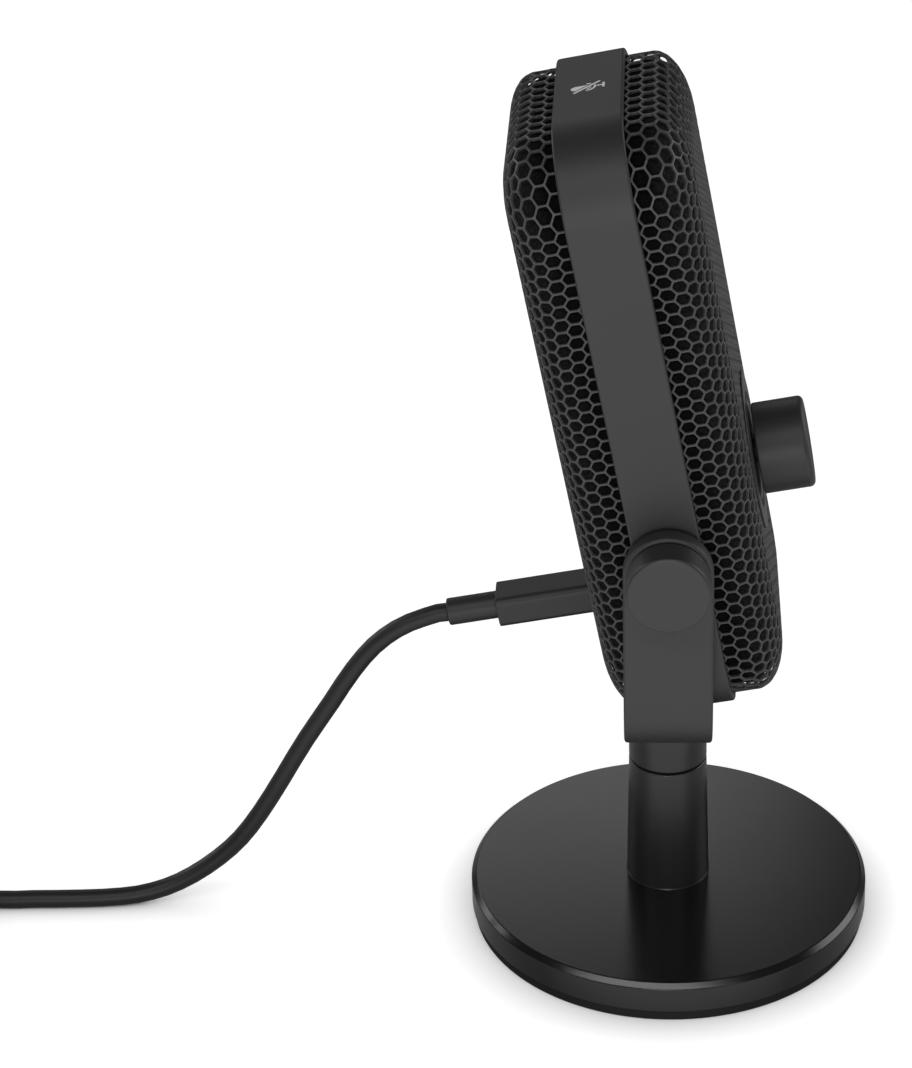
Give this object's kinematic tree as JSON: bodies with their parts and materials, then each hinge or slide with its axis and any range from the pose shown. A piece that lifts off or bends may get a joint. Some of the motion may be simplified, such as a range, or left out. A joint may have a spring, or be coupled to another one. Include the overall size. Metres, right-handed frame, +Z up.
{
  "type": "desktop microphone",
  "caption": "Desktop microphone: a tall honeycomb-grilled head that tilts in a U-shaped yoke on a round weighted base, with a push dial in front and a coiled cable behind.",
  "frame": {"origin": "centre of the base's underside, on the surface the microphone stands on", "axes": "+Z up; the dial and the front grille face -Y; the cable leaves at the back, +Y; the pivots' line is along X"},
  "size_m": [0.1526, 0.3017, 0.2225],
  "materials": {
    "base_paint": "satin black powder coat",
    "post_paint": "satin black paint",
    "yoke_paint": "satin charcoal paint",
    "band_paint": "satin charcoal paint",
    "knob_plastic": "satin charcoal",
    "grille_plastic": "satin dark grey",
    "foam": "open-cell acoustic foam",
    "frame_plastic": "moulded",
    "pad_rubber": "matt, grippy",
    "holder_rubber": "soft, matt",
    "washer_plastic": "nylon",
    "steel": "zinc plated",
    "brass": "machined",
    "board_green": "solder mask",
    "dial_plastic": "satin charcoal",
    "plate_plastic": "satin",
    "light_plastic": "smoked light guide",
    "encoder_plastic": "moulded",
    "plug_plastic": "soft-touch overmould",
    "cord_jacket": "smooth, slightly glossy jacket",
    "tie_plastic": "soft strap"
  },
  "bodies": {
    "stand": {"base_plate": "base_paint", "foot_pad": "pad_rubber", "base_bolt": "steel", "base_washer": "steel", "post": "post_paint", "post_stud": "steel"},
    "yoke": {"swivel_washer": "washer_plastic", "collar": "post_paint", "collar_insert": "brass", "collar_screw": "steel", "yoke": "yoke_paint", "arm_washers": "washer_plastic", "cord": "cord_jacket", "cord_coil": "cord_jacket", "cord_tie": "tie_plastic", "cord_tail": "cord_jacket", "end_relief": "plug_plastic", "end_plug": "plug_plastic", "end_plug_shell": "steel"},
    "head": {"band": "band_paint", "chassis": "frame_plastic", "pivot_bosses": "steel", "front_grille": "grille_plastic", "rear_grille": "grille_plastic", "front_foam": "foam", "rear_foam": "foam", "capsule": "brass", "capsule_holder": "holder_rubber", "circuit_board": "board_green", "board_screws": "steel", "touch_sensor": "board_green", "dial_plate": "plate_plastic", "plate_screws": "steel", "light_ring": "light_plastic", "encoder": "encoder_plastic", "port_plate": "plate_plastic", "port_board": "board_green", "board_link": "encoder_plastic", "port_screws": "steel", "usb_socket": "steel", "plug_shell": "steel", "plug": "plug_plastic", "plug_relief": "plug_plastic"},
    "dial_push": {"encoder_plunger": "encoder_plastic"},
    "dial": {"dial_shaft": "steel", "dial": "dial_plastic", "dial_cap": "dial_plastic"},
    "left_washer": {"left_knob_washer": "washer_plastic"},
    "left_knob": {"left_knob": "knob_plastic", "left_bolt": "steel"},
    "right_washer": {"right_knob_washer": "washer_plastic"},
    "right_knob": {"right_knob": "knob_plastic", "right_bolt": "steel"}
  },
  "joints": [
    {"name": "yoke_swivel", "type": "hinge", "parent": "stand", "child": "yoke", "pos_m": [0, 0, 0.0447], "axis": [0, 0, 1], "range_deg": [-90, 90]},
    {"name": "head_tilt", "type": "hinge", "parent": "yoke", "child": "head", "pos_m": [0, 0, 0.11934], "axis": [1, 0, 0], "range_deg": [-30, 35], "deforming": ["cord"]},
    {"name": "dial_press", "type": "slide", "parent": "head", "child": "dial_push", "axis": [0, 0.9845, -0.1754], "range_m": [0, 0.0006], "stiffness_N_per_m": 2500, "springref_m": -0.0004},
    {"name": "dial_turn", "type": "hinge", "parent": "dial_push", "child": "dial", "pos_m": [0, 0.00128, 0.12653], "axis": [0, -0.9845, 0.1754], "continuous": true},
    {"name": "left_knob_travel", "type": "slide", "parent": "head", "child": "left_washer", "axis": [-1, 0, 0], "range_m": [0, 0.001]},
    {"name": "left_knob_turn", "type": "hinge", "parent": "left_washer", "child": "left_knob", "pos_m": [-0.043, 0, 0.11934], "axis": [-1, 0, 0], "range_deg": [0, 360]},
    {"name": "right_knob_travel", "type": "slide", "parent": "head", "child": "right_washer", "axis": [1, 0, 0], "range_m": [0, 0.001]},
    {"name": "right_knob_turn", "type": "hinge", "parent": "right_washer", "child": "right_knob", "pos_m": [0.043, 0, 0.11934], "axis": [1, 0, 0], "range_deg": [0, 360]}
  ],
  "couplings": [
    {"joint": "left_knob_turn", "follows": "left_knob_travel", "rad_per_m": 6283.2},
    {"joint": "right_knob_turn", "follows": "right_knob_travel", "rad_per_m": 6283.2}
  ]
}
